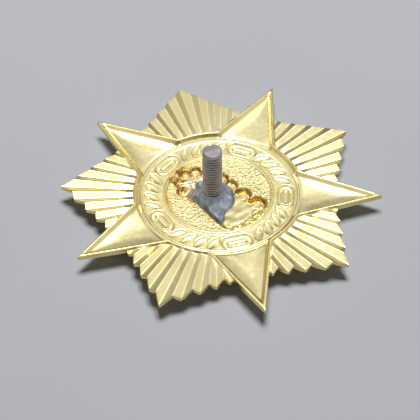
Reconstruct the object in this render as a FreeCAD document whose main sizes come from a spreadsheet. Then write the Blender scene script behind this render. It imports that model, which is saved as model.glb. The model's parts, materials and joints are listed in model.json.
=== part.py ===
import FreeCAD, Part

import os
from math import cos, radians, sin

import Sketcher

# Cap badge: a stamped brass star over a fluted ray plate, with a screw post soldered in its hollow back.
#
# Frame, in millimetres: the badge lies face down. Z = 0 is the surface that its raised emblem rests on,
# +Z points out of the hollow back along the screw post, X = Y = 0 is the centre of the star, and one
# arm of the star points along +Y. The rim of the star is the highest level of the stamping.

Vector = FreeCAD.Vector

ARM_COUNT = 5
FLUTE_COUNT = 55
WEDGE_COUNT = 8

SIZES = [
    ("star_tip_radius", 25.0, "centre of the badge to the point of an arm"),
    ("arm_half_angle", 20.5, "half of the angle at an arm's point, degrees"),
    ("arm_tip_flat", 0.25, "length taken off the sharp point of an arm"),
    ("arm_root_overlap", 0.85, "how far an arm starts inside the edge of the disc"),
    ("arm_root_depth", 0.9, "rim down to the tray floor on the arm's centre line, at the disc"),
    ("arm_point_depth", 0.45, "rim down to the tray floor on the arm's centre line, at the point"),
    ("arm_cross_slope", 0.056, "rise of the tray floor for each millimetre away from the centre line"),
    ("rim_width", 0.5, "thickness of the star's upright rim"),
    ("gauge", 0.55, "thickness of the sheet"),
    ("disc_radius", 12.45, "hollow of the central disc"),
    ("disc_wall", 0.55, "thickness of the disc's upright wall"),
    ("disc_depth", 0.95, "rim down to the floor of the disc"),
    ("ray_tip_radius", 24.2, "centre of the badge to the point of a ray cluster"),
    ("ray_corner_radius", 17.7, "inner corner between two ray clusters"),
    ("flute_notch", 0.45, "depth of the nick between two flutes at the plate's edge"),
    ("flute_apex_depth", 0.78, "rim down to the point where all the flutes would meet"),
    ("flute_valley_rise", 0.0165, "rise of a flute's valley for each millimetre outwards"),
    ("flute_ridge_rise", 0.0355, "rise of a flute's ridge for each millimetre outwards"),
    ("ring_inner_radius", 8.27, "inner border line of the ring band"),
    ("ring_line_inset", 0.3, "disc's edge to the outer border line"),
    ("ring_line_radius", 0.18, "half thickness of a border line"),
    ("ornament_width", 0.75, "width of an ornament's stroke"),
    ("ornament_depth", 0.3, "relief of the ornament"),
    ("link_half_length", 1.1, "half of the straight part of a ring link"),
    ("link_half_height", 0.95, "middle of a ring link to the middle of its stroke"),
    ("leaf_length", 1.9, "straight part of an ornament leaf"),
    ("emblem_reach", 8.0, "centre of the badge to the far edge of the oak spray"),
    ("emblem_depth", 1.45, "floor of the disc down to the floor of the oak spray"),
    ("emblem_gauge", 0.6, "thickness of the sheet under the oak spray"),
    ("spray_wall", 0.45, "thickness of the upright wall round the oak spray"),
    ("post_x", -1.0, "post axis, sideways from the centre"),
    ("post_y", -0.1, "post axis, along the upright arm from the centre"),
    ("post_diameter", 3.0, "major diameter of the post's M3 thread"),
    ("post_pitch", 0.5, "pitch of the post's M3 thread"),
    ("post_above_rim", 8.15, "end of the post above the rim"),
    ("post_foot_diameter", 2.4, "plain foot of the post, inside the solder"),
    ("post_chamfer", 0.3, "chamfer at the post's end"),
    ("nip_drop", 0.32, "fall of the two nipped facets from the middle of the post's end to its side"),
    ("nip_turn", 48.0, "direction of the nipped edge, degrees from +X"),
    ("solder_recess", 0.15, "floor of the disc down to the top of the solder"),
    ("solder_bevel", 0.45, "bevel along the top edge of the solder"),
    ("fillet_radius", 2.75, "foot of the solder's cone round the post"),
    ("fillet_height", 1.0, "height of the solder's cone above the pool"),
    ("fillet_collar", 1.62, "radius at the top of the solder's cone"),
    ("solder_clearance", 0.01, "gap between the post's foot and the solder"),
    ("cut_clearance", 1.0, "how far a cutting solid runs past the face that it cuts"),
]

# The oak spray: round lobes (centre x, centre y, radius) and the leaf blade that joins them, in units of
# emblem_reach.
OAK_LOBES = [
    (-0.640, -0.160, 0.140), (-0.775, 0.030, 0.140), (-0.790, 0.260, 0.125), (-0.640, 0.415, 0.120),
    (-0.440, 0.450, 0.125), (-0.110, 0.425, 0.135), (0.110, 0.300, 0.150), (0.430, 0.165, 0.160),
    (0.770, 0.020, 0.180), (0.820, -0.250, 0.142), (0.730, -0.460, 0.137), (0.550, -0.640, 0.140),
]
OAK_BLADE = [
    (-0.560, -0.280), (-0.440, -0.290), (0.240, -0.710), (0.410, -0.790), (0.560, -0.760),
    (0.740, -0.480), (0.830, -0.240), (0.780, 0.030), (0.420, 0.190), (0.100, 0.310),
    (-0.110, 0.440), (-0.600, 0.410), (-0.740, 0.290), (-0.770, 0.060),
]

# Outline of the solder pool, in units of emblem_reach.
SOLDER_OUTLINE = [
    (-0.490, -0.215), (0.325, -0.715), (0.360, -0.610), (0.300, -0.425), (0.370, -0.240),
    (0.385, -0.040), (0.200, 0.310), (-0.075, 0.450), (-0.330, 0.325), (-0.540, 0.200),
]

# One fifth of the ring band's ornament: a link at the middle, and leaves that all lean one way from the
# band's middle line, given as degrees round the band from the link.
LEAF_ANGLES = (19.8, 30.6, 41.4, 52.2)
LEAF_LEAN = 55.0

doc = FreeCAD.newDocument("cap_badge")
sheet = doc.addObject("Spreadsheet::Sheet", "sizes")
for row, (alias, value, note) in enumerate(SIZES, start=1):
    sheet.set(f"A{row}", alias)
    sheet.set(f"B{row}", str(value))
    sheet.set(f"C{row}", note)
    sheet.setAlias(f"B{row}", alias)
doc.recompute()

# Heights above the table, as expressions on the sheet.
DISC_FLOOR = "(sizes.emblem_depth + sizes.emblem_gauge)"
RIM = f"({DISC_FLOOR} + sizes.disc_depth)"
SOLDER_TOP = f"({DISC_FLOOR} - sizes.solder_recess)"
FILLET_TOP = f"({SOLDER_TOP} + sizes.fillet_height)"
POST_END = f"({RIM} + sizes.post_above_rim)"

ARM_ROOT = "(sizes.disc_radius - sizes.arm_root_overlap)"


def size(name):
    """The value of one cell of the sheet."""
    return float(getattr(sheet, name))


def worked_out(expression):
    """The value of an expression on the sheet."""
    return float(sheet.evalExpression(expression.replace("sizes.", "")))


def bind(thing, **expressions):
    """Tie properties of a document object to expressions on the sheet."""
    for prop, expression in expressions.items():
        thing.setExpression(prop, expression)
    return thing


def origin_feature(body, role):
    return next(f for f in body.Origin.OriginFeatures if f.Role == role)


def new_body(label):
    body = doc.addObject("PartDesign::Body", label)
    body.Label = label
    return body


def body_sketch(body, name, role, offset="0"):
    """An empty sketch on one of the body's own origin planes, moved along that plane's normal."""
    sketch = body.newObject("Sketcher::SketchObject", name)
    sketch.AttachmentSupport = [(origin_feature(body, role), "")]
    sketch.MapMode = "FlatFace"
    sketch.setExpression(".AttachmentOffset.Base.z", offset)
    return sketch


def fix_point(sketch, geometry, vertex, x, y):
    """Tie one point of a sketch to two expressions, measured from the sketch's origin."""
    for kind, expression in (("DistanceX", x), ("DistanceY", y)):
        index = sketch.addConstraint(
            Sketcher.Constraint(kind, -1, 1, geometry, vertex, worked_out(expression)))
        sketch.setExpression(f"Constraints[{index}]", expression)


def draw_polygon(sketch, corners):
    """A closed outline of straight lines whose corners are pairs of expressions."""
    points = [Vector(worked_out(x), worked_out(y), 0) for x, y in corners]
    lines = [Part.LineSegment(a, b) for a, b in zip(points, points[1:] + points[:1])]
    first = sketch.addGeometry(lines, False)[0]
    count = len(corners)
    for i in range(count):
        following = (i + 1) % count
        sketch.addConstraint(Sketcher.Constraint("Coincident", first + i, 2, first + following, 1))
    for i, (x, y) in enumerate(corners):
        fix_point(sketch, first + i, 1, x, y)
    return sketch


def draw_circle(sketch, radius, x="0", y="0"):
    """A circle whose radius and centre are expressions."""
    centre = Vector(worked_out(x), worked_out(y), 0)
    index = sketch.addGeometry(Part.Circle(centre, Vector(0, 0, 1), worked_out(radius)), False)
    fix_point(sketch, index, 3, x, y)
    radius_index = sketch.addConstraint(Sketcher.Constraint("Radius", index, worked_out(radius)))
    sketch.setExpression(f"Constraints[{radius_index}]", radius)
    return sketch


def extruded(name, plan, bottom, height):
    """A prism over a flat plan, from the height bottom upwards."""
    prism = doc.addObject("Part::Extrusion", name)
    prism.Base = plan
    prism.DirMode = "Custom"
    prism.Dir = Vector(0, 0, 1)
    prism.Solid = True
    bind(prism, LengthFwd=height)
    prism.setExpression("Placement.Base.z", bottom)
    return prism


def boolean(kind, label, first, *others):
    """A Part boolean: MultiFuse and MultiCommon take any number of objects, Cut takes two."""
    result = doc.addObject(kind, label)
    result.Label = label
    if kind == "Part::Cut":
        result.Base, result.Tool = first, others[0]
    else:
        result.Shapes = [first, *others]
    return result


def star_solid(label, top, trim, disc_radius, below):
    """A five-armed star with a round middle, whose arms have a shallow V for a floor.

    top is the height of its upper face, trim how much shorter than the badge's own point its points
    are, and below how far its floors lie under the tray's own. All are expressions on the sheet.
    """
    point = f"(sizes.star_tip_radius - {trim})"
    waist = f"({point} * sin(sizes.arm_half_angle) / sin(sizes.arm_half_angle + {180 / ARM_COUNT}))"
    corners = []
    for k in range(2 * ARM_COUNT):
        radius = waist if k % 2 else point
        turn = 90 + k * 180 / ARM_COUNT
        corners.append((f"{radius} * cos({turn})", f"{radius} * sin({turn})"))
    plan = draw_polygon(doc.addObject("Sketcher::SketchObject", label + "_plan"), corners)
    prism = extruded(label + "_prism", plan, "0", top)

    half = f"({point} * tan(sizes.arm_half_angle))"
    high = f"({top} + sizes.cut_clearance)"
    ridge = f"({RIM} - sizes.arm_root_depth - {below})"
    side = f"({ridge} + sizes.arm_cross_slope * {half})"
    section = doc.addObject("Sketcher::SketchObject", label + "_section")
    draw_polygon(section, [
        (f"-{half}", high), (f"-{half}", side), ("0", ridge), (half, side), (half, high)])
    # The section stands across the arm: its own Y axis is the badge's Z.
    section.Placement.Rotation = FreeCAD.Rotation(Vector(1, 0, 0), 90)
    section.setExpression("Placement.Base.y", ARM_ROOT)
    run = f"({point} - sizes.arm_tip_flat - {ARM_ROOT})"
    climb = "(sizes.arm_root_depth - sizes.arm_point_depth)"
    troughs = []
    for k in range(ARM_COUNT):
        trough = doc.addObject("Part::Extrusion", f"{label}_trough_{k + 1}")
        trough.Base = section
        trough.DirMode = "Custom"
        trough.Solid = True
        trough.setExpression("Dir.x", "0")
        trough.setExpression("Dir.y", run)
        trough.setExpression("Dir.z", climb)
        bind(trough, LengthFwd=f"sqrt({run}^2 + {climb}^2)")
        trough.Placement.Rotation = FreeCAD.Rotation(Vector(0, 0, 1), k * 360 / ARM_COUNT)
        troughs.append(boolean("Part::MultiCommon", f"{label}_arm_{k + 1}", prism, trough))

    disc = doc.addObject("Part::Cylinder", label + "_disc")
    floor = f"({DISC_FLOOR} - {below})"
    bind(disc, Radius=disc_radius, Height=f"{top} - {floor}")
    disc.setExpression("Placement.Base.z", floor)
    return boolean("Part::MultiFuse", label, disc, *troughs)


def ray_plate():
    """The fluted sheet: flat facets that all point at one apex, with a nicked ten-cornered edge."""
    apex = Vector(0, 0, worked_out(RIM) - size("flute_apex_depth"))
    drop = Vector(0, 0, size("gauge"))
    inner = size("disc_radius") + size("disc_wall") / 2
    sector = radians(360 / ARM_COUNT)
    tip = Vector(size("ray_tip_radius"), 0, 0)
    corner_radius = size("ray_corner_radius")
    corner = Vector(corner_radius * cos(sector / 2), corner_radius * sin(sector / 2), 0)
    side = corner - tip
    across = tip.x * side.y - tip.y * side.x
    tops = []
    for i in range(2 * FLUTE_COUNT):
        turn = i * radians(180 / FLUTE_COUNT)
        from_tip = abs((turn + sector / 2) % sector - sector / 2)
        edge = across / (cos(from_tip) * side.y - sin(from_tip) * side.x)
        valley = i % 2 == 0
        reach = edge if valley else edge - size("flute_notch")
        rise = size("flute_valley_rise" if valley else "flute_ridge_rise")
        # The first ray cluster points half a sector on from the +Y arm.
        angle = turn + radians(90) + sector / 2
        tops.append([apex + Vector(r * cos(angle), r * sin(angle), r * rise) for r in (inner, reach)])
    faces = []
    for (in_a, out_a), (in_b, out_b) in zip(tops, tops[1:] + tops[:1]):
        quads = [
            (in_a, out_a, out_b, in_b),
            (in_a - drop, in_b - drop, out_b - drop, out_a - drop),
            (out_a, out_a - drop, out_b - drop, out_b),
            (in_a, in_b, in_b - drop, in_a - drop),
        ]
        faces += [Part.Face(Part.makePolygon(list(quad) + [quad[0]])) for quad in quads]
    shell = Part.Shell(faces)
    shell.sewShape()
    solid = Part.Solid(shell)
    if solid.Volume < 0:
        solid.reverse()
    plate = doc.addObject("Part::Feature", "ray_plate")
    plate.Shape = solid
    return plate


def stroke(start, end, width):
    """A flat bar with round ends, as one face."""
    along = (end - start).normalize() * (width / 2)
    aside = Vector(-along.y, along.x, 0)
    edges = [
        Part.LineSegment(start + aside, end + aside).toShape(),
        Part.Arc(end + aside, end + along, end - aside).toShape(),
        Part.LineSegment(end - aside, start - aside).toShape(),
        Part.Arc(start - aside, start - along, start + aside).toShape(),
    ]
    return Part.Face(Part.Wire(edges))


def clockwise(point, degrees_round):
    """A point of the plan, moved clockwise round the badge's centre."""
    return FreeCAD.Rotation(Vector(0, 0, 1), -degrees_round).multVec(point)


def ornament_plan():
    """The ring band's ornament: five ring links with slanting leaves between them."""
    middle = Vector(0, (size("ring_inner_radius") + size("disc_radius") - size("ring_line_inset")) / 2, 0)
    width = size("ornament_width")
    half_link = Vector(size("link_half_length"), 0, 0)
    lean = radians(LEAF_LEAN)
    half_leaf = Vector(cos(lean), sin(lean), 0) * (size("leaf_length") / 2)
    link_height = 2 * size("link_half_height")
    faces = []
    for k in range(ARM_COUNT):
        arm_turn = k * 360 / ARM_COUNT
        ends = [clockwise(middle + half_link * way, arm_turn) for way in (-1, 1)]
        faces.append(stroke(*ends, link_height + width).cut(stroke(*ends, link_height - width)).Faces[0])
        for angle in LEAF_ANGLES:
            ends = [clockwise(middle + half_leaf * way, arm_turn + angle) for way in (-1, 1)]
            faces.append(stroke(*ends, width))
    ornament = doc.addObject("Part::Feature", "ornament_plan")
    ornament.Shape = Part.makeCompound(faces)
    return ornament


def oak_plan():
    """The plan of the oak spray: its lobes and blade as one face."""
    reach = size("emblem_reach")
    corners = [Vector(x * reach, y * reach, 0) for x, y in OAK_BLADE]
    blade = Part.Face(Part.makePolygon(corners + corners[:1]))
    lobes = []
    for x, y, radius in OAK_LOBES:
        circle = Part.Circle(Vector(x * reach, y * reach, 0), Vector(0, 0, 1), radius * reach)
        lobes.append(Part.Face(Part.Wire(circle.toShape())))
    spray = doc.addObject("Part::Feature", "oak_plan")
    spray.Shape = blade.fuse(lobes).removeSplitter().Faces[0]
    return spray


def ring_line(name, radius, height):
    """A round border line, as a torus."""
    line = doc.addObject("Part::Torus", name)
    bind(line, Radius1=radius, Radius2="sizes.ring_line_radius")
    line.setExpression("Placement.Base.z", height)
    return line


def boss_plan(plan, margin):
    """The plan of the raised front over a recess: the recess's plan made wider all round."""
    wider = doc.addObject("Part::Offset2D", plan.Name + "_boss")
    wider.Source = plan
    return bind(wider, Value=margin)


def star_shell():
    """The stamping: rim, arms, disc, ray plate, ornament and oak spray in one sheet of brass."""
    blank = star_solid("star_blank", RIM, "0", "sizes.disc_radius + sizes.disc_wall", "sizes.gauge")
    hollow = star_solid(
        "star_hollow", f"({RIM} + sizes.cut_clearance)",
        "(sizes.rim_width / sin(sizes.arm_half_angle))", "sizes.disc_radius", "0")
    ornament = ornament_plan()
    oak = oak_plan()
    front = f"({DISC_FLOOR} - sizes.gauge)"
    oak_relief = extruded(
        "oak_relief", boss_plan(oak, "sizes.spray_wall"), "0", f"{DISC_FLOOR} - sizes.gauge / 2")
    ornament_relief = extruded(
        "ornament_relief", ornament, f"{front} - sizes.ornament_depth",
        "sizes.ornament_depth + sizes.gauge / 3")
    oak_recess = extruded(
        "oak_recess", oak, "sizes.emblem_gauge", "sizes.emblem_depth + sizes.cut_clearance")
    ornament_channel = extruded(
        "ornament_channel", ornament, f"{DISC_FLOOR} - sizes.ornament_depth",
        "sizes.ornament_depth + sizes.cut_clearance")
    outer_line = "sizes.disc_radius - sizes.ring_line_inset"
    inner_line = "sizes.ring_inner_radius"

    shell = boolean("Part::MultiFuse", "disc_with_ornament", blank, ornament_relief)
    shell = boolean("Part::MultiFuse", "star_on_rays", shell, ray_plate())
    shell = boolean("Part::Cut", "hollow_star", shell, hollow)
    shell = boolean("Part::Cut", "with_channels", shell, ornament_channel)
    shell = boolean("Part::Cut", "with_outer_groove", shell, ring_line("outer_groove", outer_line, front))
    shell = boolean("Part::Cut", "with_inner_groove", shell, ring_line("inner_groove", inner_line, front))
    # The spray comes after the inner groove, which would otherwise run through it as a tunnel.
    shell = boolean("Part::MultiFuse", "with_spray", shell, oak_relief)
    shell = boolean("Part::Cut", "with_spray_recess", shell, oak_recess)
    shell = boolean(
        "Part::MultiFuse", "with_outer_line", shell, ring_line("outer_line", outer_line, DISC_FLOOR))
    return boolean(
        "Part::MultiFuse", "star_shell", shell, ring_line("inner_line", inner_line, DISC_FLOOR))


def screw_post():
    """The M3 stud: a plain foot held in the solder, a thread above it, and an end nipped to a roof.

    Its blank is a ring of equal wedges, and no step merges their faces, so that each face of the
    thread's crest is a short one.
    """
    body = new_body("screw_post")
    radius = "(sizes.post_diameter / 2)"
    foot = "(sizes.post_foot_diameter / 2)"
    neck = f"{radius} - sizes.post_chamfer"
    turned = body.newObject("PartDesign::Revolution", "post_wedge")
    turned.Profile = draw_polygon(body_sketch(body, "post_side", "XZ_Plane"), [
        ("0", "sizes.emblem_gauge"), (foot, "sizes.emblem_gauge"), (foot, FILLET_TOP),
        (radius, FILLET_TOP), (radius, f"{POST_END} - sizes.nip_drop - sizes.post_chamfer"),
        (neck, f"{POST_END} - sizes.nip_drop"), (neck, POST_END), ("0", POST_END),
    ])
    turned.ReferenceAxis = (origin_feature(body, "Z_Axis"), [""])
    turned.Angle = 360 / WEDGE_COUNT
    doc.recompute()
    blank = body.newObject("PartDesign::PolarPattern", "post_blank")
    blank.Originals = [turned]
    blank.Axis = (origin_feature(body, "Z_Axis"), [""])
    blank.Angle = 360
    blank.Occurrences = WEDGE_COUNT
    blank.Refine = False
    body.Tip = blank
    doc.recompute()

    # A 60 degree thread: the groove is 5/8 of the full triangle deep, with a root P/4 wide.
    depth = "(0.54127 * sizes.post_pitch)"
    root_half = "(sizes.post_pitch / 8)"
    overshoot = "(0.1 * sizes.post_pitch)"
    mouth_half = f"({root_half} + ({depth} + {overshoot}) * tan(30))"
    start = f"({FILLET_TOP} - sizes.post_pitch)"
    thread = body.newObject("PartDesign::SubtractiveHelix", "post_thread")
    thread.Profile = draw_polygon(body_sketch(body, "thread_groove", "XZ_Plane"), [
        (f"{radius} - {depth}", f"{start} - {root_half}"),
        (f"{radius} + {overshoot}", f"{start} - {mouth_half}"),
        (f"{radius} + {overshoot}", f"{start} + {mouth_half}"),
        (f"{radius} - {depth}", f"{start} + {root_half}"),
    ])
    thread.ReferenceAxis = (origin_feature(body, "Z_Axis"), [""])
    thread.Mode = 0
    thread.Refine = False
    bind(thread, Pitch="sizes.post_pitch", Height=f"{POST_END} - {FILLET_TOP} + 2 * sizes.post_pitch")
    doc.recompute()

    # Side cutters leave two facets that fall away from one edge across the middle of the end.
    reach = f"({radius} + sizes.cut_clearance)"
    low = f"{POST_END} - sizes.nip_drop * {reach} / {radius}"
    high = f"{POST_END} + sizes.cut_clearance"
    sketch = body_sketch(body, "nip_side", "XZ_Plane")
    sketch.AttachmentOffset = FreeCAD.Placement(Vector(), FreeCAD.Rotation(Vector(0, 1, 0), 1))
    sketch.setExpression(".AttachmentOffset.Rotation.Angle", "sizes.nip_turn - 90")
    nip = body.newObject("PartDesign::Pocket", "nipped_end")
    nip.Profile = draw_polygon(sketch, [
        ("0", POST_END), (reach, low), (reach, high), (f"-{reach}", high), (f"-{reach}", low)])
    nip.Midplane = True
    nip.Refine = False
    bind(nip, Length=f"2 * {reach}")
    body.Tip = nip
    place_on_post_axis(body)
    return body


def place_on_post_axis(thing):
    thing.setExpression("Placement.Base.x", "sizes.post_x")
    thing.setExpression("Placement.Base.y", "sizes.post_y")


def solder_pool():
    """The solder that fills the oak spray's recess round the post and climbs its foot as a cone."""
    body = new_body("solder_pool")
    floor = "sizes.emblem_gauge"
    outline = [(f"{x} * sizes.emblem_reach", f"{y} * sizes.emblem_reach") for x, y in SOLDER_OUTLINE]
    pool = body.newObject("PartDesign::Pad", "pool")
    pool.Profile = draw_polygon(body_sketch(body, "pool_outline", "XY_Plane", floor), outline)
    bind(pool, Length=f"{SOLDER_TOP} - {floor}")
    doc.recompute()
    level = worked_out(SOLDER_TOP)
    upper = [
        f"Edge{i}" for i, edge in enumerate(pool.Shape.Edges, start=1)
        if min(v.Point.z for v in edge.Vertexes) > level - 0.001
    ]
    bevel = body.newObject("PartDesign::Chamfer", "pool_bevel")
    bevel.Base = (pool, upper)
    bind(bevel, Size="sizes.solder_bevel")
    cone = body.newObject("PartDesign::AdditiveCone", "cone_round_post")
    bind(cone, Radius1="sizes.fillet_radius", Radius2="sizes.fillet_collar", Height="sizes.fillet_height")
    cone.setExpression(".AttachmentOffset.Base.x", "sizes.post_x")
    cone.setExpression(".AttachmentOffset.Base.y", "sizes.post_y")
    cone.setExpression(".AttachmentOffset.Base.z", SOLDER_TOP)
    cone.AttachmentSupport = [(origin_feature(body, "XY_Plane"), "")]
    cone.MapMode = "FlatFace"
    doc.recompute()
    bore = body.newObject("PartDesign::Pocket", "post_bore")
    radius = "(sizes.post_foot_diameter / 2 + sizes.solder_clearance)"
    bore_plane = body_sketch(body, "bore_outline", "XY_Plane", floor)
    bore.Profile = draw_circle(bore_plane, radius, "sizes.post_x", "sizes.post_y")
    bore.Reversed = True
    bind(bore, Length=f"{FILLET_TOP} - {floor} + sizes.cut_clearance")
    body.Tip = bore
    return body


pieces = [star_shell(), solder_pool(), screw_post()]
doc.recompute()

for thing in doc.Objects:
    if {"Invalid", "Error"} & set(thing.State):
        raise RuntimeError(f"{thing.Label} failed: {thing.State}")
for piece in pieces:
    if piece.Shape.isNull() or not piece.Shape.isValid() or len(piece.Shape.Solids) != 1:
        raise RuntimeError(f"{piece.Label} is not one valid solid")

os.makedirs("parts", exist_ok=True)
for piece in pieces:
    piece.Shape.exportStep(f"parts/{piece.Label}.step")
    print(f"{piece.Label}: {piece.Shape.Volume:.2f} mm3, {len(piece.Shape.Faces)} faces")
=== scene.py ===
import json
from math import cos, pi, radians, sin

import bpy
import numpy as np
from mathutils import Matrix, Vector


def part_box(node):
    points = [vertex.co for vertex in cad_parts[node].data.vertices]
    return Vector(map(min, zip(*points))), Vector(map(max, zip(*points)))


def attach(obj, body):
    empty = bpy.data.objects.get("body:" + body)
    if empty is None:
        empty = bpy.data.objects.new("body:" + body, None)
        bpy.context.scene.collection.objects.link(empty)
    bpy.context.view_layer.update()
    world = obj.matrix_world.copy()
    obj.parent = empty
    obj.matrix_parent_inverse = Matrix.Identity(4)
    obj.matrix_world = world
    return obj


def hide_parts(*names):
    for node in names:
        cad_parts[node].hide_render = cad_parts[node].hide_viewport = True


# The dressed cap badge. Its stamping, solder and post are each one mesh, worked out from the same shapes
# as the CAD model. Lengths are in millimetres in this script's own frame of the badge, which is the CAD
# frame, and a mesh is scaled to metres when it is made.

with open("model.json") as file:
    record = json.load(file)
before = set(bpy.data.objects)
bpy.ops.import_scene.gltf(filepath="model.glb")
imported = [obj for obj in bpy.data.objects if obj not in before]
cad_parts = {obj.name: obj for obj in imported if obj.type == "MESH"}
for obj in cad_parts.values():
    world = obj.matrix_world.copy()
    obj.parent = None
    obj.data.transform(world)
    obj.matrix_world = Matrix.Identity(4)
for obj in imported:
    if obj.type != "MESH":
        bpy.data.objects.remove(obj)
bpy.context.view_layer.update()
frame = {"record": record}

MM = 0.001
MOUNTS = {mount["name"]: mount for mount in frame["record"]["mounts"]}
POST_X, POST_Y = (value / MM for value in MOUNTS["screw_post"]["pos_m"][:2])
POST_RADIUS = MOUNTS["screw_post"]["dims"]["r_mm"]
POST_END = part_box("screw_post")[1][2] / MM
RIM = MOUNTS["cap_seat"]["pos_m"][2] / MM

# The star.
ARMS = 5
SECTOR = 2 * pi / ARMS
TIP = 25.0
ARM_HALF_ANGLE = radians(20.5)
ARM_POINT_ROUND = 0.12
ARM_ROOT = 11.6
ROOT_DEPTH = 0.9
POINT_DEPTH = 0.45
CROSS_SLOPE = 0.056
WAIST_ROUND = 0.35
RIM_WIDTH = 0.5
WALL = (0.26, 0.92)
DISH = (0.35, 3.2)
DISH_SHARE = 0.2
GAUGE = 0.55
RIM_CROWN = 0.25
RIM_BLEND = (-0.16, 0.2)
DISC_OUTER = 13.0
DISC_FLOOR = RIM - 0.95

# Distances inside the star's edge and the spray's edge where the mesh has lines of its own, and how near
# to such a line a point has to be to move onto it.
STAR_LINES = (-0.16, -0.05, 0.08, 0.2, 0.3, 0.45, 0.6, 0.75, 0.92)
SPRAY_LINES = (-0.04, 0.38)
CLOSE_SNAP = 0.045
WIDE_SNAP = 0.068
EDGE_SNAP = 0.02

# The fluted plate.
FLUTES = 55
FIRST_RAY = pi / 2 + SECTOR / 2
PITCH = 2 * pi / FLUTES
RAY_TIP = 24.2
RAY_CORNER = 17.7
NOTCH = 0.75
APEX = RIM - 0.78
VALLEY_RISE = 0.0135
RIDGE_RISE = 0.0385
CREST_ROUND = 0.12
PLATE_MARGIN = 0.1

# The ring band and its ornament.
RING_LINES = (8.27, 12.15)
LINE_HALF_WIDTH = 0.24
LINE_HEIGHT = 0.2
BAND_MIDDLE = sum(RING_LINES) / 2
STROKE = 0.75
STROKE_DEPTH = 0.36
LINK_HALF_LENGTH = 1.1
LINK_HALF_HEIGHT = 0.95
LEAF_LENGTH = 1.9
LEAF_ANGLES = (19.8, 30.6, 41.4, 52.2)
LEAF_LEAN = radians(55.0)
LEAF_HALF_WIDTH = 0.8

# The oak spray: lobes (x, y, radius), the blade that joins them, and the spine that its veins leave.
REACH = 8.0
LOBES = [
    (-0.640, -0.160, 0.140), (-0.775, 0.030, 0.140), (-0.790, 0.260, 0.125), (-0.640, 0.415, 0.120),
    (-0.440, 0.450, 0.125), (-0.110, 0.425, 0.135), (0.110, 0.300, 0.150), (0.430, 0.165, 0.160),
    (0.770, 0.020, 0.180), (0.820, -0.250, 0.142), (0.730, -0.460, 0.137), (0.550, -0.640, 0.140),
]
BLADE = [
    (-0.560, -0.280), (-0.440, -0.290), (0.240, -0.710), (0.410, -0.790), (0.560, -0.760),
    (0.740, -0.480), (0.830, -0.240), (0.780, 0.030), (0.420, 0.190), (0.100, 0.310),
    (-0.110, 0.440), (-0.600, 0.410), (-0.740, 0.290), (-0.770, 0.060),
]
SPINE = [(-0.60, 0.15), (-0.20, 0.08), (0.15, -0.10), (0.50, -0.25), (0.66, -0.30)]
RIB = [(0.565, -0.735), (0.700, -0.560), (0.815, -0.330), (0.880, -0.120), (0.905, 0.030)]
SPRAY_WALL = 0.45
RECESS_FLOOR = 0.95

# The post. Its end is nipped to a roof, whose ridge is turned this far from X.
THREAD_PITCH = 0.5
THREAD_DEPTH = 0.27
THREAD_START = 2.3
THREAD_STEP = 0.0417
POST_FOOT = 0.75
POST_SPOKES = 96
NIP_TURN = radians(48)
NIP_DROP = 0.32

# The solder: its outline in shares of the spray's reach, its levels and its cone round the post.
SOLDER_BOTTOM = 0.7
SOLDER_TOP = 1.86
SOLDER_INSET = 0.32
SOLDER_SPOKES = 160
SOLDER_RINGS = 44
CONE_HEIGHT = 0.85
CONE_SPREAD = 0.75
SOLDER_OUTLINE = [
    (-0.490, -0.215), (0.325, -0.715), (0.360, -0.610), (0.300, -0.425), (0.370, -0.240),
    (0.385, -0.040), (0.200, 0.310), (-0.075, 0.450), (-0.330, 0.325), (-0.540, 0.200),
]

# The camera stands over the front edge of the picture, turned this far round the badge.
VIEW_TURN = radians(20.8)

# The camera.
CAMERA_ELEVATION = radians(45.4)
CAMERA_ROLL = radians(0.31)
CAMERA_DISTANCE = 0.2345
CAMERA_LENS = 132.0
CAMERA_SHIFT = (-0.021, -0.0485)

# The lamp, the table and the room. The room grows brighter upwards and, by SIDE_SHARE, to its left and
# right: it has the first level up to the first place on that scale and the second from the second place.
LAMP_DIRECTION = (0.03, 0.27, 0.96)
LAMP_DISTANCE = 0.6
LAMP_SIZE = (0.28, 0.23)
LAMP_WATTS = 2.2
TABLE_HALF = 0.6
TABLE_COLOURS = ((0.730, 0.750, 0.795), (0.755, 0.770, 0.812))
SIDE_SHARE = 0.6
ROOM_PLACES = (0.38, 0.88)
ROOM_LEVELS = (0.18, 0.93)
ROOM_FILL = 0.05


def step(value, low, high):
    """A smooth rise from 0 at low to 1 at high."""
    share = np.clip((value - low) / (high - low), 0, 1)
    return share * share * (3 - 2 * share)


def bump(distance, width):
    """A round ridge: 1 on its line, 0 from width onwards."""
    return np.clip(1 - (distance / width) ** 2, 0, 1) ** 1.5


def either(a, b, blend):
    """The greater of two fields, with a rounded corner where they meet."""
    share = np.clip(0.5 + 0.5 * (a - b) / blend, 0, 1)
    return b + (a - b) * share + blend * share * (1 - share)


def uneven(x, y, wavelength, seed):
    """Smooth made-up unevenness, mostly between -1 and 1."""
    draw = np.random.default_rng(seed)
    total = 0
    for _ in range(7):
        turn, phase = draw.uniform(0, 2 * pi, 2)
        length = wavelength * draw.uniform(0.6, 1.5)
        total = total + np.sin((x * cos(turn) + y * sin(turn)) * 2 * pi / length + phase)
    return total / 3.5


def from_segment(x, y, start, end):
    """Distance from a straight stretch."""
    run_x, run_y = end[0] - start[0], end[1] - start[1]
    share = ((x - start[0]) * run_x + (y - start[1]) * run_y) / (run_x ** 2 + run_y ** 2)
    share = np.clip(share, 0, 1)
    return np.hypot(x - start[0] - share * run_x, y - start[1] - share * run_y)


def from_line(x, y, points):
    """Distance from a line of several stretches."""
    distance = from_segment(x, y, points[0], points[1])
    for start, end in zip(points[1:], points[2:]):
        distance = np.minimum(distance, from_segment(x, y, start, end))
    return distance


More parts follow.
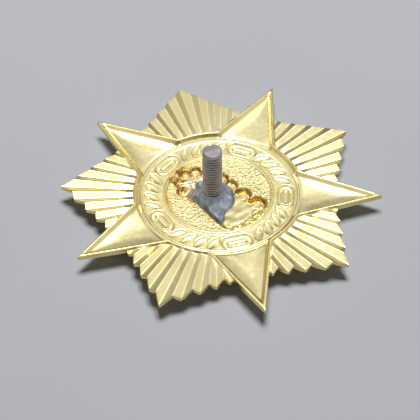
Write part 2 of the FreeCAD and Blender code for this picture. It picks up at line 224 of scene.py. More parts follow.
def in_polygon(x, y, points):
    """Distance inside a polygon, negative outside."""
    inside = np.zeros(np.shape(x), bool)
    for (ax, ay), (bx, by) in zip(points, points[1:] + points[:1]):
        crosses = (ay > y) != (by > y)
        inside ^= crosses & (x < (bx - ax) * (y - ay) / (by - ay + 1e-12) + ax)
    distance = from_line(x, y, points + points[:1])
    return np.where(inside, distance, -distance)


def scaled(points):
    return [tuple(value * REACH for value in point) for point in points]


def on_arm(x, y):
    """How far along and across its nearest arm each point lies."""
    turn = np.arctan2(y, x) - pi / 2
    swing = turn - np.round(turn / SECTOR) * SECTOR
    radius = np.hypot(x, y)
    return radius * np.cos(swing), radius * np.sin(swing)


def in_star(x, y):
    """Distance inside the star's outline, negative outside."""
    along, across = on_arm(x, y)
    aside = np.sqrt(across ** 2 + ARM_POINT_ROUND ** 2)
    arm = (TIP - along) * sin(ARM_HALF_ANGLE) - aside * cos(ARM_HALF_ANGLE)
    return either(arm, DISC_OUTER - np.hypot(x, y), WAIST_ROUND)


def ridge_share(x, y):
    """0 along a flute's valley and 1 along its ridge."""
    phase = ((np.arctan2(y, x) - FIRST_RAY) / PITCH) % 1
    return 1 - np.abs(2 * phase - 1)


def in_plate(x, y):
    """Distance inside the ray plate's nicked edge, measured towards the centre."""
    from_tip = np.abs((np.arctan2(y, x) - FIRST_RAY + SECTOR / 2) % SECTOR - SECTOR / 2)
    side_x = RAY_CORNER * cos(SECTOR / 2) - RAY_TIP
    side_y = RAY_CORNER * sin(SECTOR / 2)
    edge = RAY_TIP * side_y / (np.cos(from_tip) * side_y - np.sin(from_tip) * side_x)
    return edge - NOTCH * ridge_share(x, y) ** 1.5 - np.hypot(x, y)


def in_badge(x, y):
    return np.maximum(in_star(x, y), in_plate(x, y))


def in_oak(x, y):
    """Distance inside the oak spray's recess, negative outside."""
    inside = in_polygon(x, y, scaled(BLADE))
    for lobe_x, lobe_y, radius in scaled(LOBES):
        inside = either(inside, radius - np.hypot(x - lobe_x, y - lobe_y), 0.12)
    return inside


def ornament_places():
    """Where the band's links and leaves sit: (x, y, direction of the long axis, True for a link)."""
    places = []
    for k in range(ARMS):
        arm = 2 * pi * k / ARMS
        places.append((BAND_MIDDLE * sin(arm), BAND_MIDDLE * cos(arm), -arm, True))
        for angle in LEAF_ANGLES:
            turn = arm + radians(angle)
            places.append((BAND_MIDDLE * sin(turn), BAND_MIDDLE * cos(turn), LEAF_LEAN - turn, False))
    return places


def band_relief(x, y):
    """The ornament seen from behind, from 0 to 1 deep: ring links round a bead, and veined leaves."""
    relief = np.zeros(np.shape(x))
    half_leaf = (LEAF_LENGTH + STROKE) / 2 + 0.15
    for place_x, place_y, turn, is_link in ornament_places():
        near = np.hypot(x - place_x, y - place_y) < 3.2
        dx, dy = x[near] - place_x, y[near] - place_y
        along = dx * cos(turn) + dy * sin(turn)
        aside = -dx * sin(turn) + dy * cos(turn)
        if is_link:
            edge = from_segment(along, aside, (-LINK_HALF_LENGTH, 0), (LINK_HALF_LENGTH, 0))
            shape = bump(edge - LINK_HALF_HEIGHT, STROKE / 2 + 0.05)
            shape = np.maximum(shape, 0.9 * bump(edge, 0.68))
        else:
            fullness = np.clip(1 - (along / half_leaf) ** 2, 0, 1)
            width = LEAF_HALF_WIDTH * fullness ** 0.8 + 0.02
            blade = step(1 - np.abs(aside) / width, 0.0, 0.6) * fullness ** 0.3
            shape = blade * (0.75 + 0.25 * bump(aside, 0.22))
        relief[near] = np.maximum(relief[near], shape)
    return relief


def flutes(x, y):
    """Height of the fluted plate's back, with round ridges and valleys that fade at the disc."""
    radius = np.hypot(x, y)
    share = ridge_share(x, y)
    low = np.clip(CREST_ROUND - share, 0, None) ** 2 / (2 * CREST_ROUND)
    high = np.clip(share - 1 + CREST_ROUND, 0, None) ** 2 / (2 * CREST_ROUND)
    share = share + low - high
    fade = 0.55 + 0.45 * step(radius, DISC_OUTER, DISC_OUTER + 2.2)
    middle = (VALLEY_RISE + RIDGE_RISE) / 2
    rise = middle + (RIDGE_RISE - VALLEY_RISE) * (share - 0.5) * fade
    return APEX + radius * rise


def tray_floor(x, y):
    """Height of the arms' shallow trays, which run into the disc's floor."""
    radius = np.hypot(x, y)
    along, across = on_arm(x, y)
    share = np.clip((along - ARM_ROOT) / (TIP - ARM_ROOT), 0, 1)
    depth = ROOT_DEPTH + (POINT_DEPTH - ROOT_DEPTH) * share
    aside = np.sqrt(across ** 2 + 0.6 ** 2) - 0.6
    arm = RIM - depth + CROSS_SLOPE * aside + 0.02 * uneven(x, y, 7, 3)
    return DISC_FLOOR + (arm - DISC_FLOOR) * step(radius, 12.3, 12.8)


def ring_relief(x, y):
    """Relief of the two border lines, each with a fainter line beside it."""
    radius = np.hypot(x, y)
    relief = 0
    for line in RING_LINES:
        relief = relief + LINE_HEIGHT * bump(radius - line, LINE_HALF_WIDTH)
        relief = relief + 0.35 * LINE_HEIGHT * bump(radius - line + 0.42, 0.7 * LINE_HALF_WIDTH)
    return relief


def leaf_relief(x, y):
    """Relief of the oak leaves from 0, between the lobes, to 1, on top of a lobe or rib."""
    relief = np.zeros(np.shape(x))
    spine = scaled(SPINE)
    for lobe_x, lobe_y, radius in scaled(LOBES):
        root = min(spine, key=lambda point: (point[0] - lobe_x) ** 2 + (point[1] - lobe_y) ** 2)
        waist = (0.45 * lobe_x + 0.55 * root[0], 0.45 * lobe_y + 0.55 * root[1])
        distance = from_segment(x, y, (lobe_x, lobe_y), waist)
        lobe = step(1 - distance / radius, 0.0, 0.7)
        vein = bump(from_segment(x, y, (lobe_x, lobe_y), root), 0.25)
        top = 0.9 if lobe_x < 0.3 * REACH else 0.25
        relief = np.maximum(relief, top * lobe - 0.3 * vein * lobe)
    rib_distance = from_line(x, y, scaled(RIB))
    right = step(x * cos(VIEW_TURN) + y * sin(VIEW_TURN), -0.6, 0.9)
    blade = 0.85 - 0.06 * rib_distance
    relief = np.maximum(relief, right * blade * step(in_oak(x, y), 0.3, 0.75))
    relief = relief + 0.3 * right * bump(rib_distance, 0.5)
    return either(relief, 0.5 * bump(from_line(x, y, spine), 0.8), 0.05)


def back_height(x, y):
    """Height of the hollow back."""
    star = in_star(x, y)
    oak = in_oak(x, y)
    outside = np.where(in_plate(x, y) > -PLATE_MARGIN, flutes(x, y), RIM - 0.22)
    floor = tray_floor(x, y) + ring_relief(x, y)
    floor = floor - STROKE_DEPTH * band_relief(x, y)
    grain = step(RING_LINES[0] - np.hypot(x, y), 0.3, 0.6) * step(oak, 0.0, -0.3)
    floor = floor + 0.012 * grain * uneven(x, y, 0.7, 11)
    recess = RECESS_FLOOR + 0.75 * leaf_relief(x, y) + 0.025 * uneven(x, y, 1.9, 5)
    floor = floor + 0.05 * bump(oak + 0.12, 0.3)
    floor = floor + (recess - floor) * step(oak, *SPRAY_LINES)
    crown = RIM - RIM_CROWN * (star - RIM_WIDTH / 2) ** 2
    height = outside + (crown - outside) * step(star, *RIM_BLEND)
    dish = DISH_SHARE * step(np.hypot(x, y), DISC_OUTER - 0.5, DISC_OUTER + 1.5)
    fall = (1 - dish) * step(star, *WALL) + dish * step(star, *DISH)
    return height + (floor - crown) * fall


def front_height(x, y):
    """Height of the front, the reverse of the back: it lies face down."""
    star = in_star(x, y)
    oak = in_oak(x, y)
    plate = in_plate(x, y) > -PLATE_MARGIN
    outside = np.where(plate, flutes(x, y) - GAUGE, tray_floor(x, y) - GAUGE + 0.18)
    floor = tray_floor(x, y) - GAUGE + ring_relief(x, y)
    floor = floor - STROKE_DEPTH * band_relief(x, y)
    leaves = 0.62 * (1 - np.clip(leaf_relief(x, y) / 0.95, 0, 1))
    floor = floor + (leaves - floor) * step(oak, -SPRAY_WALL, -SPRAY_WALL + 0.4)
    return outside + (floor - outside) * step(star, -0.03, 0.22)


def ring_radii():
    """Radii of the plan's rings: close in the ring band and over the spray, with one on each line."""
    radii = np.concatenate([
        np.arange(0.3, 4.0, 0.24), np.arange(4.0, 8.0, 0.17), np.arange(8.0, 12.6, 0.146),
        np.arange(12.7, 25.4, 0.335)])
    lines = [line + aside for line in RING_LINES for aside in (-0.5, -0.42, -0.2, -0.1, 0, 0.1, 0.2)]
    lines += [DISC_OUTER]
    kept = [radius for radius in radii if min(abs(radius - line) for line in lines) > 0.06]
    return sorted(kept + lines)


def polar_plan():
    """Points and triangles of a disc of rings, whose spokes follow the flutes' ridges and valleys."""
    spread = (0.0, 0.08, 0.25, 0.42, 0.5, 0.58, 0.75, 0.92)
    spokes = np.array([FIRST_RAY + PITCH * (k + share) for k in range(FLUTES) for share in spread])
    points = [(0.0, 0.0)]
    triangles = []
    previous = None
    for radius in ring_radii():
        angles = spokes[::2] if radius < 4.0 else spokes
        first = len(points)
        points += [(radius * cos(angle), radius * sin(angle)) for angle in angles]
        ring = list(range(first, len(points)))
        count = len(ring)
        if previous is None:
            triangles += [(0, ring[i], ring[(i + 1) % count]) for i in range(count)]
        elif len(previous) == count:
            for i in range(count):
                j = (i + 1) % count
                triangles += [(previous[i], ring[i], ring[j]), (previous[i], ring[j], previous[j])]
        else:
            half = len(previous)
            for i in range(half):
                j = (i + 1) % half
                left, middle, right = ring[2 * i], ring[2 * i + 1], ring[(2 * i + 2) % count]
                triangles += [
                    (previous[i], left, middle), (previous[i], middle, previous[j]),
                    (previous[j], middle, right)]
        previous = ring
    return np.array(points), np.array(triangles)


def cut_along(points, triangles, field, snap=0.035):
    """Put edges of the plan where a field is nought. Points nearer than snap are moved onto the curve."""
    small = 1e-3
    value = field(points[:, 0], points[:, 1])
    near = np.abs(value) < snap
    x, y = points[near].T
    slope = np.stack([
        field(x + small, y) - field(x - small, y), field(x, y + small) - field(x, y - small)], 1)
    slope /= 2 * small
    size = np.maximum((slope ** 2).sum(1, keepdims=True), 0.25)
    points = points.copy()
    points[near] -= value[near, None] * slope / size
    value[near] = 0

    sign = np.sign(value)[triangles]
    crossed = (sign.min(1) < 0) & (sign.max(1) > 0)
    kept, cut = triangles[~crossed], triangles[crossed]
    new_points, ids = [], {}

    def crossing(a, b):
        key = (a, b) if a < b else (b, a)
        if key not in ids:
            share = value[a] / (value[a] - value[b])
            ids[key] = len(points) + len(new_points)
            new_points.append(points[a] + (points[b] - points[a]) * share)
        return ids[key]

    pieces = []
    for corners in cut.tolist():
        signs = [np.sign(value[corner]) for corner in corners]
        if 0 in signs:
            lead = signs.index(0)
        else:
            lead = next(i for i in range(3) if signs.count(signs[i]) == 1)
        a, b, c = corners[lead:] + corners[:lead]
        if value[a] == 0:
            middle = crossing(b, c)
            pieces += [(a, b, middle), (a, middle, c)]
        else:
            on_b, on_c = crossing(a, b), crossing(a, c)
            pieces += [(a, on_b, on_c), (on_b, b, c), (on_b, c, on_c)]
    if pieces:
        points = np.vstack([points, new_points])
        kept = np.vstack([kept, pieces])
    return points, kept


def badge_plan():
    """The badge's plan as triangles, with edges along each curve where its relief turns sharply."""
    points, triangles = polar_plan()
    far = in_badge(points[:, 0], points[:, 1]) < -0.7
    triangles = triangles[~far[triangles].all(1)]
    for offset in STAR_LINES:
        snap = CLOSE_SNAP if offset < 0.4 else WIDE_SNAP
        points, triangles = cut_along(points, triangles, lambda x, y: in_star(x, y) - offset, snap)
    for offset in SPRAY_LINES:
        points, triangles = cut_along(points, triangles, lambda x, y: in_oak(x, y) - offset)
    points, triangles = cut_along(points, triangles, in_badge, EDGE_SNAP)
    middle = points[triangles].mean(1)
    triangles = triangles[in_badge(middle[:, 0], middle[:, 1]) > 0]
    used, triangles = np.unique(triangles, return_inverse=True)
    return points[used], triangles.reshape(-1, 3)


def boundary(triangles):
    """Edges that only one triangle has, in that triangle's direction."""
    edges = np.vstack([triangles[:, [0, 1]], triangles[:, [1, 2]], triangles[:, [2, 0]]])
    key = np.sort(edges, 1)
    _, first, count = np.unique(key, axis=0, return_index=True, return_counts=True)
    return edges[first[count == 1]]


def new_object(name, points, faces, sharp_angle, fields=None):
    """A smooth-shaded mesh object from points in millimetres, with one point attribute for each field."""
    mesh = bpy.data.meshes.new(name)
    mesh.from_pydata((np.asarray(points) * MM).tolist(), [], [list(face) for face in faces])
    mesh.update()
    mesh.shade_smooth()
    mesh.set_sharp_from_angle(angle=radians(sharp_angle))
    for field, values in (fields or {}).items():
        attribute = mesh.attributes.new(field, "FLOAT", "POINT")
        attribute.data.foreach_set("value", np.asarray(values, np.float32))
    obj = bpy.data.objects.new(name, mesh)
    bpy.context.collection.objects.link(obj)
    return obj


def flux_stain_and_shade(x, y):
    """Flux stain where flux has run and browned, on the disc to the recess's left and below and into its
    hollows, with painted shade on the recess wall and in its low hollows.
    """
    oak = in_oak(x, y)
    turn = np.arctan2(y, x) - VIEW_TURN
    side = 0.3 + 0.55 * np.clip(np.cos(turn - radians(200)), 0, 1) + 0.35 * np.clip(-np.sin(turn), 0, 1)
    patches = 0.6 + 0.5 * uneven(x, y, 2.6, 21)
    spilt = step(oak, -1.5, 0.1) * (side + 0.25 * np.clip(-np.cos(turn), 0, 1)) * patches
    # Painted shade along the recess's scalloped wall.
    wall_shade = bump(oak - 0.12, 0.42)
    across = x * cos(VIEW_TURN) + y * sin(VIEW_TURN)
    away = y * cos(VIEW_TURN) - x * sin(VIEW_TURN)
    left = 0.2 + 0.8 * step(across, 2.4, 0.6)
    near_right = step(across, 0.8, 2.2) * step(away, -1.2, -2.6)
    # Flux stain and painted shade in the recess's low hollows between the leaves.
    hollow_stain_and_shade = left * step(oak, 0.0, 0.3) * (0.9 - leaf_relief(x, y)) * (0.7 + 0.4 * patches)
    band = bump(np.hypot(x, y) - 8.0, 0.9) * np.clip(np.cos(turn - radians(165)), 0, 1) ** 2
    stain_and_shade = np.maximum(spilt, np.maximum(wall_shade, hollow_stain_and_shade)) * (1 - 0.8 * near_right)
    return np.clip(stain_and_shade + 0.8 * band * patches, 0, 1)


def painted_rim_shade(x, y):
    """Painted shade in a deeper gold: on the star's rim, its inner wall and the badge's edge."""
    rim_shade = bump(in_star(x, y) - 0.36, 0.62)
    edge = step(in_badge(x, y), 0.55, 0.1)
    return np.clip(np.maximum(rim_shade, 0.9 * edge) * (0.8 + 0.3 * uneven(x, y, 3.5, 23)), 0, 1)


def surface_normals(height, x, y, small=0.02):
    """Upward normals of a surface given by its height."""
    slope_x = (height(x + small, y) - height(x - small, y)) / (2 * small)
    slope_y = (height(x, y + small) - height(x, y - small)) / (2 * small)
    normals = np.column_stack([-slope_x, -slope_y, np.ones(len(x))])
    return normals / np.linalg.norm(normals, axis=1, keepdims=True)


def stamping():
    """The brass sheet: hollow back and raised front over one plan, joined round its edge."""
    plan, triangles = badge_plan()
    x, y = plan.T
    back = np.column_stack([x, y, back_height(x, y)])
    front = np.column_stack([x, y, front_height(x, y)])
    count = len(plan)
    rim_edges = boundary(triangles)
    walls = [(b, a, a + count, b + count) for a, b in rim_edges.tolist()]
    faces = triangles.tolist() + (triangles[:, ::-1] + count).tolist() + walls
    oak = in_oak(x, y)
    inner_disc = step(RING_LINES[0] - np.hypot(x, y), 0.2, 0.5)
    none = np.zeros(count)
    sheet = new_object("star_stamping", np.vstack([back, front]), faces, 55, {
        # This attribute holds flux stain and painted shade on the recess wall and in its hollows.
        "stain_and_shade": np.concatenate([flux_stain_and_shade(x, y), none]),
        "petals": np.concatenate([step(oak, 0.0, 0.4) * step(x, 1.5, -0.5), none]),
        "grain": np.concatenate([inner_disc * step(oak, 0.0, -0.2), inner_disc]),
        # This attribute holds painted shade on the rim, the inner wall and the edge.
        "rim_shade": np.concatenate([painted_rim_shade(x, y), none]),
    })
    normals = np.vstack([surface_normals(back_height, x, y), -surface_normals(front_height, x, y)])
    corners = normals[[corner for face in faces for corner in face]]
    for polygon in sheet.data.polygons[len(faces) - len(walls):]:
        corners[polygon.loop_start:polygon.loop_start + 4] = polygon.normal
    sheet.data.normals_split_custom_set(corners.tolist())
    return sheet


def solder():
    """The frozen pool: a skirt hidden in the recess, an uneven top and a cone that climbs the post."""
    outline = scaled(SOLDER_OUTLINE)
    angles = np.linspace(0, 2 * pi, SOLDER_SPOKES, endpoint=False)
    reach = []
    for angle in angles:
        steps = np.linspace(1.3, 7.5, 600)
        inside = in_polygon(POST_X + steps * cos(angle), POST_Y + steps * sin(angle), outline) > 0
        reach.append(steps[inside].max())
    reach = np.array(reach)
    for _ in range(2):
        reach = (np.roll(reach, 1) + 2 * reach + np.roll(reach, -1)) / 4
    reach += 0.13 * uneven(np.cos(angles) * 4, np.sin(angles) * 4, 2.1, 31)
    points, faces = [], []
    inner = POST_RADIUS - SOLDER_INSET
    for share in np.linspace(0, 1, SOLDER_RINGS):
        radius = inner + (reach - inner) * share
        x = POST_X + radius * np.cos(angles)
        y = POST_Y + radius * np.sin(angles)
        edge = reach - radius
        cone = CONE_HEIGHT * np.exp(-np.clip(radius - POST_RADIUS - 0.1, 0, None) / CONE_SPREAD)
        level = SOLDER_TOP + cone + 0.05 * uneven(x, y, 1.6, 41) + 0.03 * uneven(x, y, 0.7, 42)
        blob = 0.62 * np.exp(-(((x + 3.9) / 0.95) ** 2 + ((y - 1.1) / 0.8) ** 2))
        dip = 0.14 * np.exp(-(((x - 1.2) / 1.1) ** 2 + ((y + 1.9) / 0.9) ** 2))
        slope = 0.75 * (1 - step(edge, 0.0, 0.95)) ** 1.3
        height = level + blob - dip - slope
        points += np.column_stack([x, y, height]).tolist()
    for share in (1.0, 0.0):
        radius = inner + (reach - inner) * share
        x = POST_X + radius * np.cos(angles)
        y = POST_Y + radius * np.sin(angles)
        points += np.column_stack([x, y, np.full(SOLDER_SPOKES, SOLDER_BOTTOM)]).tolist()
    loops = SOLDER_RINGS + 2
    for ring in range(loops):
        low, high = ring * SOLDER_SPOKES, (ring + 1) % loops * SOLDER_SPOKES
        for i in range(SOLDER_SPOKES):
            j = (i + 1) % SOLDER_SPOKES
            faces.append((low + i, high + i, high + j, low + j))
    return new_object("solder_mass", points, faces, 60)


def thread_depth(height, angle):
    """How deep a worn right-hand M3 thread is cut at a height and an angle."""
    phase = (height / THREAD_PITCH - angle / (2 * pi)) % 1
    flank = np.clip((0.5 - np.abs(phase - 0.5)) / 0.42, 0, 1)
    return THREAD_DEPTH * (1 - step(1 - flank, 0.0, 0.92))


def post():
    """The post: a worn thread from the solder up, and an end nipped to a roof with a rounded edge."""
    angles = np.linspace(0, 2 * pi, POST_SPOKES, endpoint=False)
    side = POST_END - NIP_DROP
    heights = np.arange(THREAD_START, side - 0.34, THREAD_STEP)
    points = []
    faces = []
    loops = []

    def add_loop(radius, height):
        first = len(points)
        x = POST_X + radius * np.cos(angles)
        y = POST_Y + radius * np.sin(angles)
        points.extend(np.column_stack([x, y, np.broadcast_to(height, x.shape)]).tolist())
        loops.append(list(range(first, first + POST_SPOKES)))

    add_loop(np.full(POST_SPOKES, POST_RADIUS - 0.3), POST_FOOT)
    for height in heights:
        radius = POST_RADIUS - thread_depth(height, angles)
        radius = radius - 0.012 * (1 + uneven(angles * 2, height * 1.5 + 0 * angles, 1.9, 51))
        add_loop(radius, height)

    def roof(radius):
        aside = radius * np.sin(angles - NIP_TURN)
        return POST_END - NIP_DROP * np.abs(aside) / POST_RADIUS

    for inset, below in ((0.0, 0.17), (0.05, 0.08), (0.12, 0.025), (0.22, 0.0)):
        radius = POST_RADIUS - 0.02 - inset
        add_loop(np.full(POST_SPOKES, radius), roof(radius) - below)
    for share in (0.8, 0.6, 0.4, 0.2, 0.08):
        radius = (POST_RADIUS - 0.24) * share
        x, y = radius * np.cos(angles), radius * np.sin(angles)
        add_loop(np.full(POST_SPOKES, radius), roof(radius) - 0.012 * (1 + uneven(x, y, 0.9, 61)))
    for low, high in zip(loops, loops[1:]):
        for i in range(POST_SPOKES):
            j = (i + 1) % POST_SPOKES
            faces.append((low[i], low[j], high[j], high[i]))
    faces.append(loops[0][::-1])
    faces.append(loops[-1])
    x, y, height = np.array(points).T
    groove = thread_depth(height, np.arctan2(y - POST_Y, x - POST_X)) * (height < side - 0.3)
    return new_object("threaded_post", points, faces, 42, {
        "groove": groove / THREAD_DEPTH, "end": np.where(height > side - 0.02, 1.0, 0.0)})


class Nodes:
    """A short way to write a material's nodes."""

    def __init__(self, name):
        self.material = bpy.data.materials.new(name)
        self.material.use_nodes = True
        self.tree = self.material.node_tree
        self.shader = self.tree.nodes["Principled BSDF"]

    def add(self, kind, **inputs):
        """A node with its inputs set by name, each to a value or to another node's output."""
        node = self.tree.nodes.new(kind)
        for name, value in inputs.items():
            self.put(node, name.replace("_", " "), value)
        return node

    def put(self, node, name, value):
        socket = node.inputs[name]
        if isinstance(value, bpy.types.NodeSocket):
            self.tree.links.new(value, socket)
        else:
            socket.default_value = value

    def places(self):
        return self.add("ShaderNodeTexCoord").outputs["Object"]

    def noise(self, scale, detail=3.0, rough=0.5):
        node = self.add(
            "ShaderNodeTexNoise", Vector=self.places(), Scale=scale, Detail=detail, Roughness=rough)
        return node.outputs["Fac"]

    def attribute(self, name):
        node = self.tree.nodes.new("ShaderNodeAttribute")
        node.attribute_name = name
        return node.outputs["Fac"]

    def math(self, operation, a, b=0.0):
        node = self.tree.nodes.new("ShaderNodeMath")
        node.operation = operation
        for socket, value in zip(node.inputs, (a, b)):
            if isinstance(value, bpy.types.NodeSocket):
                self.tree.links.new(value, socket)
            else:
                socket.default_value = value
        return node.outputs[0]

    def spread(self, value, low, high, to_low, to_high):
        node = self.add("ShaderNodeMapRange", Value=value)
        for socket, limit in zip(node.inputs[1:5], (low, high, to_low, to_high)):
            socket.default_value = limit
        return node.outputs[0]

    def mix(self, share, a, b):
        """A colour between two others, each a colour or a node's output."""
        node = self.tree.nodes.new("ShaderNodeMix")
        node.data_type = "RGBA"
        for socket, value in zip((node.inputs[0], node.inputs[6], node.inputs[7]), (share, a, b)):
            if isinstance(value, bpy.types.NodeSocket):
                self.tree.links.new(value, socket)
            elif socket.type == "VALUE":
                socket.default_value = value
            else:
                socket.default_value = (*value, 1.0)
        return node.outputs[2]

    def raise_by(self, height, distance, strength=1.0, normal=None):
        """Bump from a height between 0 and 1, for a relief of distance in metres."""
        node = self.add("ShaderNodeBump", Height=height, Distance=distance, Strength=strength)
        if normal is not None:
            self.tree.links.new(normal, node.inputs["Normal"])
        return node.outputs["Normal"]

    def finish(self, **inputs):
        for name, value in inputs.items():
            self.put(self.shader, name.replace("_", " "), value)
        return self.material


BRASS = (0.77, 0.67, 0.335)
BRASS_PALE = (0.83, 0.75, 0.43)
BRASS_DEEP = (0.72, 0.57, 0.22)
AMBER = (0.73, 0.52, 0.15)
BROWN = (0.17, 0.09, 0.025)
ROSE_GOLD = (0.95, 0.80, 0.62)
# A deeper gold for the painted shade on the rims, walls and edge.
RIM_SHADE_GOLD = (0.62, 0.48, 0.18)


def brass():
    """Gilt brass: satin with fine grain, pale and deep patches, flux stain round the solder with painted
    shade on the recess wall and in its hollows, and painted shade in a deeper gold on the star's rim,
    inner wall and the badge's edge.
    """
    n = Nodes("gilt_brass")
    patches = n.spread(n.noise(90, 2), 0.35, 0.7, 0.0, 1.0)
    colour = n.mix(patches, BRASS, BRASS_PALE)
    tarnish = n.spread(n.noise(110, 5, 0.6), 0.5, 0.8, 0.0, 0.5)
    colour = n.mix(tarnish, colour, BRASS_DEEP)
    petals = n.math("MULTIPLY", n.attribute("petals"), n.spread(n.noise(500, 2), 0.35, 0.6, 0.2, 0.75))
    colour = n.mix(petals, colour, ROSE_GOLD)
    # Amber: flux stain, and painted shade on the recess wall and in its hollows.
    stain_and_shade = n.attribute("stain_and_shade")
    blotches = n.spread(n.noise(900, 5, 0.7), 0.3, 0.6, 0.45, 1.0)
    stained_and_shaded = n.math("MULTIPLY", stain_and_shade, blotches)
    colour = n.mix(stained_and_shaded, colour, AMBER)
    # Dark brown: flux crust, and painted shade deep in the recess.
    crust_and_shade = n.spread(n.math("MULTIPLY", stain_and_shade, n.noise(1500, 4, 0.6)), 0.36, 0.56, 0.0, 0.85)
    colour = n.mix(crust_and_shade, colour, BROWN)
    # Painted shade in a deeper gold on the star's rim, inner wall and the badge's edge.
    deep_shade = n.math("MULTIPLY", n.attribute("rim_shade"), n.spread(n.noise(420, 4, 0.6), 0.3, 0.65, 0.45, 0.95))
    colour = n.mix(deep_shade, colour, RIM_SHADE_GOLD)
    grain = n.attribute("grain")
    fine = n.noise(2700, 2)
    satin = n.noise(1400, 4, 0.6)
    rough = n.spread(satin, 0.3, 0.7, 0.24, 0.33)
    rough = n.math("ADD", rough, n.math("MULTIPLY", grain, 0.10))
    rough = n.math("ADD", rough, n.math("MULTIPLY", stained_and_shaded, 0.12))
    normal = n.raise_by(satin, 0.00002, 0.2)
    normal = n.raise_by(n.math("MULTIPLY", fine, grain), 0.00036, 1.0, normal)
    return n.finish(Base_Color=colour, Metallic=1.0, Roughness=rough, Normal=normal)


def solder_metal():
    """Dull soft solder: blue-grey skin in light and dark clouds, with small dark brown specks of flux."""
    n = Nodes("soft_solder")
    clouds = n.noise(650, 4, 0.6)
    colour = n.mix(n.spread(clouds, 0.35, 0.65, 0.0, 1.0), (0.21, 0.23, 0.28), (0.41, 0.44, 0.50))
    specks = n.spread(n.noise(2600, 3, 0.7), 0.55, 0.72, 0.0, 0.6)
    colour = n.mix(specks, colour, (0.15, 0.13, 0.10))
    rough = n.spread(n.noise(1700, 3), 0.3, 0.7, 0.5, 0.68)
    normal = n.raise_by(n.noise(2300, 5, 0.65), 0.00009, 0.8)
    return n.finish(Base_Color=colour, Metallic=0.7, Roughness=rough, Normal=normal)


def post_metal():
    """Dull zinc-grey steel with a warm cast, painted shade in the thread's grooves, brighter where it was
    nipped.
    """
    n = Nodes("post_steel")
    clouds = n.noise(900, 4, 0.6)
    colour = n.mix(n.spread(clouds, 0.3, 0.7, 0.0, 1.0), (0.30, 0.27, 0.25), (0.50, 0.46, 0.45))
    # Painted shade in the thread's grooves.
    groove_shade = n.math("MULTIPLY", n.attribute("groove"), n.spread(n.noise(700, 3), 0.3, 0.7, 0.6, 1.0))
    colour = n.mix(groove_shade, colour, (0.08, 0.065, 0.045))
    colour = n.mix(n.attribute("end"), colour, (0.33, 0.30, 0.32))
    rough = n.spread(n.noise(2200, 3), 0.3, 0.7, 0.42, 0.58)
    rough = n.math("ADD", rough, n.math("MULTIPLY", n.attribute("end"), 0.2))
    normal = n.raise_by(n.noise(3800, 4, 0.6), 0.00004, 0.6)
    return n.finish(Base_Color=colour, Metallic=0.9, Roughness=rough, Normal=normal)


def dress(piece, node, material):
    piece.data.materials.append(material)
    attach(piece, "root")
    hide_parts(node)


def in_view(across, away, up):
    """A direction given across, away from and above the camera's own foot, in the badge's frame."""
    turned = Matrix.Rotation(VIEW_TURN, 3, "Z") @ Vector((across, away, up))
    return turned.normalized()


def camera():
    """The camera: how high it looks down, its distance, its small roll and the picture's framing."""
    data = bpy.data.cameras.new("camera")
    data.lens = CAMERA_LENS
    data.sensor_width = 36.0
    data.shift_x, data.shift_y = CAMERA_SHIFT
    data.clip_start = 0.01
    obj = bpy.data.objects.new("camera", data)
    back = in_view(0, -cos(CAMERA_ELEVATION), sin(CAMERA_ELEVATION))
    right = in_view(1, 0, 0)
    up = back.cross(right)
    basis = Matrix((right, up, back)).transposed() @ Matrix.Rotation(-CAMERA_ROLL, 3, "Z")
    place = back * CAMERA_DISTANCE + Vector((0, 0, RIM * MM))
    obj.matrix_world = Matrix.Translation(place) @ basis.to_4x4()
    bpy.context.collection.objects.link(obj)
    bpy.context.scene.camera = obj


def softbox(name, direction, distance, width, height, watts):
    """A large soft lamp that faces the badge."""
    data = bpy.data.lights.new(name, "AREA")
    data.shape = "ELLIPSE"
    data.size = width
    data.size_y = height
    data.energy = watts
    obj = bpy.data.objects.new(name, data)
    obj.location = direction * distance
    obj.rotation_euler = direction.to_track_quat("Z", "Y").to_euler()
    bpy.context.collection.objects.link(obj)


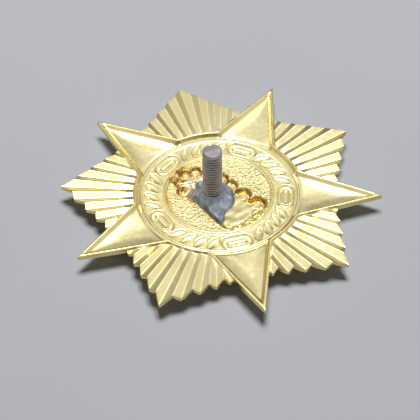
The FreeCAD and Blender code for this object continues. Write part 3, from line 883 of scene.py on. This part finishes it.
def studio():
    """A pale table, a soft lamp overhead and a plain room: dark near the horizon, bright at its sides."""
    mesh = bpy.data.meshes.new("table")
    half = TABLE_HALF
    corners = [(-half, -half, 0), (half, -half, 0), (half, half, 0), (-half, half, 0)]
    mesh.from_pydata(corners, [], [(0, 1, 2, 3)])
    table = bpy.data.objects.new("table", mesh)
    bpy.context.collection.objects.link(table)
    n = Nodes("table_top")
    colour = n.mix(n.spread(n.noise(14, 3), 0.4, 0.65, 0.0, 1.0), *TABLE_COLOURS)
    mesh.materials.append(n.finish(Base_Color=colour, Roughness=0.75, Specular_IOR_Level=0.2))

    softbox("key_lamp", in_view(*LAMP_DIRECTION), LAMP_DISTANCE, *LAMP_SIZE, LAMP_WATTS)

    world = bpy.data.worlds.new("room")
    world.use_nodes = True
    tree = world.node_tree
    tree.nodes.clear()
    places = tree.nodes.new("ShaderNodeTexCoord")

    def toward(axis):
        node = tree.nodes.new("ShaderNodeVectorMath")
        node.operation = "DOT_PRODUCT"
        node.inputs[1].default_value = axis
        tree.links.new(places.outputs["Generated"], node.inputs[0])
        return node.outputs["Value"]

    def work_out(operation, a, b=0.0):
        node = tree.nodes.new("ShaderNodeMath")
        node.operation = operation
        tree.links.new(a, node.inputs[0])
        if isinstance(b, bpy.types.NodeSocket):
            tree.links.new(b, node.inputs[1])
        else:
            node.inputs[1].default_value = b
        return node.outputs[0]

    aside = work_out("MULTIPLY", work_out("ABSOLUTE", toward(in_view(1, 0, 0))), SIDE_SHARE)
    ramp = tree.nodes.new("ShaderNodeValToRGB")
    for element, place, level in zip(ramp.color_ramp.elements, ROOM_PLACES, ROOM_LEVELS):
        element.position = place
        element.color = (level, level, level * 1.01, 1)
    tree.links.new(work_out("ADD", toward((0, 0, 1)), aside), ramp.inputs[0])
    seen = tree.nodes.new("ShaderNodeBackground")
    lights = tree.nodes.new("ShaderNodeBackground")
    lights.inputs["Color"].default_value = (0.97, 0.98, 1.0, 1)
    lights.inputs["Strength"].default_value = ROOM_FILL
    tree.links.new(ramp.outputs["Color"], seen.inputs["Color"])
    path = tree.nodes.new("ShaderNodeLightPath")
    rays = work_out("MAXIMUM", path.outputs["Is Camera Ray"], path.outputs["Is Glossy Ray"])
    choose = tree.nodes.new("ShaderNodeMixShader")
    tree.links.new(rays, choose.inputs[0])
    tree.links.new(lights.outputs[0], choose.inputs[1])
    tree.links.new(seen.outputs[0], choose.inputs[2])
    output = tree.nodes.new("ShaderNodeOutputWorld")
    tree.links.new(choose.outputs[0], output.inputs[0])
    bpy.context.scene.world = world
    bpy.context.scene.view_settings.view_transform = "Standard"


camera()
studio()
dress(stamping(), "star_shell", brass())
dress(solder(), "solder_pool", solder_metal())
dress(post(), "screw_post", post_metal())
